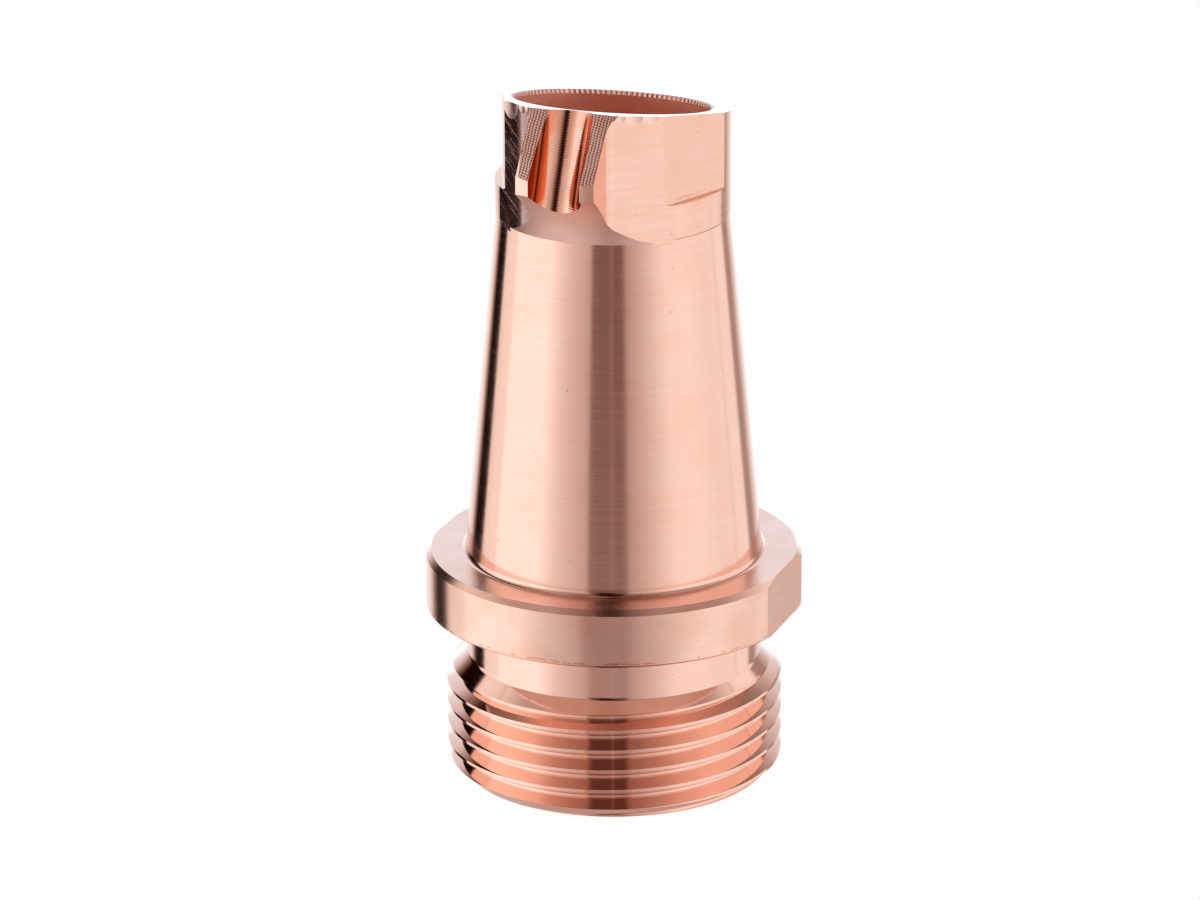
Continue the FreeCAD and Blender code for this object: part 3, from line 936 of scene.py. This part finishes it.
# The tent of white cloth round the nozzle. Degrees run from the camera, positive to the right,
# and heights run from -1 below to 1 above. A range reads start, end, value before it, value past it.
tent = {
    "wall": [  # degrees, brightness
        (-180, 1.0), (-160, 1.0), (-150, 0.8), (-146, 0.4), (-140, 0.01),
        (-125.5, 0.005), (-123.3, 0.95),  # dark card at the left
        (-107, 1.02), (-106, 0.74), (-104.8, 1.2),  # seam, then the lamp's side
        (-62, 1.2), (-48, 0.9), (-37, 0.75), (-22, 0.6),
        (15, 0.54), (30, 0.75), (49, 1.02), (70, 1.05), (93, 0.97),
        (110, 0.99), (111, 0.74), (112.2, 1.0), (130, 1.0),
        (133, 0.42), (142, 0.4), (151, 0.75), (163, 1.0), (180, 1.0),
    ],
    "slotLeft": (-20.5, -19.5, 0.0, 1.0),  # the camera's slot: sharp at the left, soft at the right
    "slotRight": (7, 14, 1.0, 0.0),
    "slotShare": 0.66,  # of the light that the slot takes
    "glintMiddle": -1.5,
    "glint": (0.5, 1.2, 0.6, 1.0),
    "tableEdgeMiddle": -0.31,
    "tableEdge": (0.05, 0.2, 0.4, 1.0),
    "lensMiddle": -6.5,
    "lensSides": (4.0, 10.0, 1.0, 0.0),
    "lensFoot": (0.12, 0.25, 0.0, 1.0),
    "lensTop": (0.5, 0.62, 1.0, 0.0),
    "lensShare": 0.97,
    "aboveFoot": (0.5, 0.62, 0.0, 1.0),
    "aboveTop": (0.9, 0.96, 1.0, 0.0),
    "aboveShare": 0.95,
    "wallTop": (0.5, 0.8, 1.0, 0.0),
    "roof": (90.0, 120.0, 0.42, 0.62),  # brightness of the roof, from the front to the back
    "peak": (0.92, 0.99, 1.0, 0.35),
    "wallFoot": (-0.62, -0.38, 0.6, 1.0),
    "tableTop": (-0.88, -0.7, 1.0, 0.0),
    "table": (100.0, 140.0, 0.85, 0.5),
    "tableShare": 0.7,
    "behindHeights": (0.1, 0.22, 1.0, 0.0),
    "behindSides": (150.0, 164.0, 0.0, 1.0),
    "behindShare": 0.32,
    "coolFoot": (-0.2, -0.08, 0.0, 1.0),
    "coolTop": (0.5, 0.7, 1.0, 0.0),
    "coolSides": (136.0, 158.0, 0.0, 1.0),
    "coolColor": (0.9, 1.04, 1.15, 1),
    "greenPower": 1.28,
    "bluePower": 1.36,
}


# One inside both ranges
def inBoth(tree, first, firstRange, second, secondRange):
    one = rangeNode(tree, first, *firstRange)
    other = rangeNode(tree, second, *secondRange)
    return mathNode(tree, "MULTIPLY", one, other)


def distanceFrom(tree, value, middle):
    return mathNode(tree, "ABSOLUTE", mathNode(tree, "SUBTRACT", value, middle))


# Takes a share of the light away where the mask is one
def dimmed(tree, level, mask, share):
    kept = mathNode(tree, "SUBTRACT", 1.0, mathNode(tree, "MULTIPLY", mask, share))
    return mathNode(tree, "MULTIPLY", level, kept)


# Brightness of the tent's wall at an angle from the camera
def wallLevel(tree, around):
    wall = tree.nodes.new("ShaderNodeValToRGB")
    tree.links.new(mathNode(tree, "ADD", mathNode(tree, "DIVIDE", around, 360), 0.5), wall.inputs[0])
    stops = wall.color_ramp.elements
    for degrees, level in tent["wall"]:
        spot = degrees / 360 + 0.5
        if spot == 0:
            stop = stops[0]
        elif spot == 1:
            stop = stops[-1]
        else:
            stop = stops.new(spot)
        stop.color = (level, level, level, 1)
    return wall.outputs["Color"]


def makeWorld():
    world = bpy.data.worlds.new("lightTent")
    bpy.context.scene.world = world
    world.use_nodes = True
    tree = world.node_tree
    background = tree.nodes["Background"]
    place = tree.nodes.new("ShaderNodeTexCoord")
    split = tree.nodes.new("ShaderNodeSeparateXYZ")
    tree.links.new(place.outputs["Generated"], split.inputs[0])
    height = split.outputs["Z"]
    angle = mathNode(tree, "ARCTAN2", split.outputs["Y"], split.outputs["X"])
    turned = mathNode(tree, "SUBTRACT", angle, studio["viewTurn"])
    wrapped = mathNode(tree, "WRAP", turned, math.pi, -math.pi)
    around = mathNode(tree, "MULTIPLY", wrapped, 180 / math.pi)
    aside = mathNode(tree, "ABSOLUTE", around)
    level = wallLevel(tree, around)

    # The slot that the camera looks through, with a thin glint, and the table's edge lighter in it
    slot = inBoth(tree, around, tent["slotLeft"], around, tent["slotRight"])
    glint = rangeNode(tree, distanceFrom(tree, around, tent["glintMiddle"]), *tent["glint"])
    edge = rangeNode(tree, distanceFrom(tree, height, tent["tableEdgeMiddle"]), *tent["tableEdge"])
    dark = mathNode(tree, "MULTIPLY", mathNode(tree, "MULTIPLY", slot, glint), edge)
    level = dimmed(tree, level, dark, tent["slotShare"])
    lens = inBoth(
        tree, distanceFrom(tree, around, tent["lensMiddle"]), tent["lensSides"], height, tent["lensFoot"],
    )
    lens = mathNode(tree, "MULTIPLY", lens, rangeNode(tree, height, *tent["lensTop"]))
    level = dimmed(tree, level, lens, tent["lensShare"])
    overSlot = inBoth(tree, height, tent["aboveFoot"], height, tent["aboveTop"])
    level = dimmed(tree, level, mathNode(tree, "MULTIPLY", slot, overSlot), tent["aboveShare"])

    # The roof, its peak, the wall's foot and the table
    onWall = rangeNode(tree, height, *tent["wallTop"])
    onRoof = mathNode(tree, "SUBTRACT", 1.0, onWall)
    roof = mathNode(tree, "MULTIPLY", onRoof, rangeNode(tree, aside, *tent["roof"]))
    level = mathNode(tree, "MULTIPLY", level, mathNode(tree, "ADD", onWall, roof))
    level = mathNode(tree, "MULTIPLY", level, rangeNode(tree, height, *tent["peak"]))
    level = mathNode(tree, "MULTIPLY", level, rangeNode(tree, height, *tent["wallFoot"]))
    onTable = rangeNode(tree, height, *tent["tableTop"])
    table = dimmed(tree, rangeNode(tree, aside, *tent["table"]), slot, tent["tableShare"])
    level = mathNode(
        tree, "ADD", dimmed(tree, level, onTable, 1.0), mathNode(tree, "MULTIPLY", onTable, table),
    )
    # A brighter part straight behind the nozzle
    flat = mathNode(tree, "ABSOLUTE", height)
    behind = inBoth(tree, flat, tent["behindHeights"], aside, tent["behindSides"])
    brighter = mathNode(tree, "ADD", 1.0, mathNode(tree, "MULTIPLY", behind, tent["behindShare"]))
    level = mathNode(tree, "MULTIPLY", level, brighter)

    tint = tree.nodes.new("ShaderNodeCombineColor")  # dim parts of the tent are warm
    tree.links.new(level, tint.inputs["Red"])
    tree.links.new(mathNode(tree, "POWER", level, tent["greenPower"]), tint.inputs["Green"])
    tree.links.new(mathNode(tree, "POWER", level, tent["bluePower"]), tint.inputs["Blue"])
    aboveTable = inBoth(tree, height, tent["coolFoot"], height, tent["coolTop"])
    coolPart = mathNode(tree, "MULTIPLY", aboveTable, rangeNode(tree, aside, *tent["coolSides"]))
    cool = tree.nodes.new("ShaderNodeMix")
    cool.data_type = "RGBA"
    cool.blend_type = "MULTIPLY"
    feed(tree, cool.inputs["Factor"], coolPart)
    feed(tree, cool.inputs[6], tint.outputs[0])
    feed(tree, cool.inputs[7], tent["coolColor"])
    rays = tree.nodes.new("ShaderNodeLightPath")
    shown = mixColors(tree, rays.outputs["Is Camera Ray"], cool.outputs[2], (1, 1, 1, 1))
    tree.links.new(shown, background.inputs["Color"])


view = {
    "azimuth": math.radians(20.5),  # to the right of the nose
    "elevation": math.radians(19.41),
    "distance": 0.28421,
    "target": (-0.000606, -0.000226, 0.015712),
    "roll": -0.0036,
    "lens": 180,
    "sensor": 36,
    "clip": 0.01,
}


def makeCamera():
    camera = bpy.data.objects.new("camera", bpy.data.cameras.new("camera"))
    bpy.context.scene.collection.objects.link(camera)
    flat = math.cos(view["elevation"])
    away = Vector((
        math.sin(view["azimuth"]) * flat, -math.cos(view["azimuth"]) * flat, math.sin(view["elevation"]),
    ))
    camera.location = Vector(view["target"]) + away * view["distance"]
    look = (-away).to_track_quat("-Z", "Y").to_matrix() @ Matrix.Rotation(view["roll"], 3, "Z")
    camera.rotation_euler = look.to_euler()
    camera.data.lens = view["lens"]
    camera.data.sensor_width = view["sensor"]
    camera.data.clip_start = view["clip"]
    bpy.context.scene.camera = camera


makeFloor()
makeWorld()
makeCamera()
bpy.context.scene.view_settings.view_transform = "Standard"
print("studio ready")
